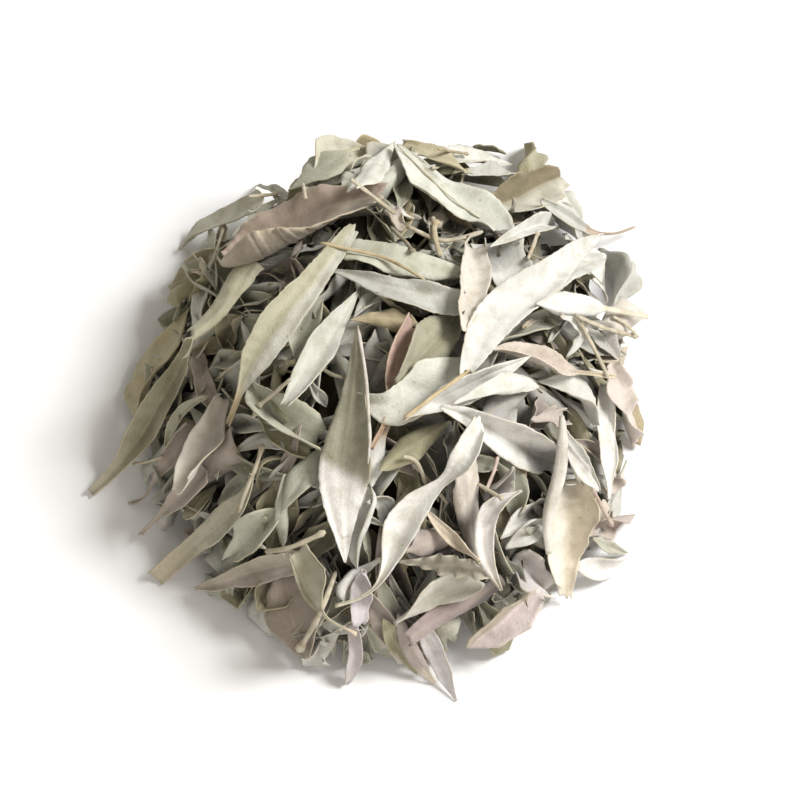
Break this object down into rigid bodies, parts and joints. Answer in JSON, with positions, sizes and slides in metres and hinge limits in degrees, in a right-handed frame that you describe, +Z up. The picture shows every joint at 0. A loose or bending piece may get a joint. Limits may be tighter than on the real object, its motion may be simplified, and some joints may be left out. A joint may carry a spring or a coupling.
{
  "type": "sage bunch",
  "caption": "Loose round heap of dried white sage leaves and a few bare leaf stalks, lying on a flat surface.",
  "frame": {"origin": "centre of the heap's flat underside, where it rests on the table", "axes": "+Z up, away from the table; +Y away from the side that the picture was taken from; +X to the right"},
  "size_m": [0.222, 0.2549, 0.0952],
  "materials": {
    "leaf_cream": "matt, felted dry leaf",
    "leaf_mauve": "matt, felted dry leaf",
    "leaf_olive": "matt, felted dry leaf",
    "leaf_pale": "matt, felted dry leaf",
    "leaf_sage": "matt, felted dry leaf",
    "stalk_straw": "matt dry stalk"
  },
  "bodies": {
    "root": {"leaf_heap": "leaf_sage", "leaf_top_tan": "leaf_olive", "leaf_right_bulk": "leaf_pale", "leaf_right_twig_leaf": "leaf_cream", "leaf_right_bright": "leaf_pale", "leaf_top_white": "leaf_pale", "leaf_left_torn": "leaf_sage", "leaf_left_long": "leaf_sage", "leaf_left_folded": "leaf_sage", "leaf_left_cut": "leaf_sage", "leaf_low_mauve": "leaf_mauve", "leaf_low_arc": "leaf_olive", "leaf_low_pink": "leaf_mauve", "leaf_foot_roll": "leaf_mauve", "leaf_foot_fan": "leaf_olive", "leaf_right_mauve_big": "leaf_mauve", "leaf_right_low_white": "leaf_pale", "leaf_front_cream": "leaf_cream", "leaf_front_crinkle": "leaf_olive", "leaf_front_triangle": "leaf_pale", "leaf_front_strip": "leaf_pale", "leaf_centre_olive": "leaf_olive", "leaf_centre_mauve": "leaf_mauve", "leaf_right_tall": "leaf_pale", "leaf_right_mauve": "leaf_mauve", "leaf_right_claw": "leaf_sage", "leaf_right_arc": "leaf_cream", "leaf_right_curl": "leaf_cream", "leaf_centre_back": "leaf_olive", "leaf_centre_front": "leaf_pale", "leaf_centre_edge": "leaf_pale", "leaf_centre_band": "leaf_pale", "leaf_front_white": "leaf_pale", "leaf_front_long": "leaf_pale", "leaf_centre_ridge": "leaf_sage", "leaf_centre_spear": "leaf_pale", "leaf_left_pale": "leaf_pale", "leaf_left_diagonal": "leaf_sage", "leaf_mauve_scroll": "leaf_mauve", "leaf_top_pale": "leaf_pale", "leaf_top_broad": "leaf_pale", "leaf_right_upright": "leaf_cream", "leaf_right_broad": "leaf_pale", "leaf_right_fang": "leaf_pale", "leaf_right_trough": "leaf_cream", "leaf_centre_long": "leaf_sage", "stalk_kinked": "stalk_straw", "stalk_knobbed": "stalk_straw", "stalk_right": "stalk_straw", "stalk_crest": "stalk_straw", "stalk_foot": "stalk_straw", "stalk_hook": "stalk_straw", "stalk_left": "stalk_straw"}
  },
  "joints": []
}
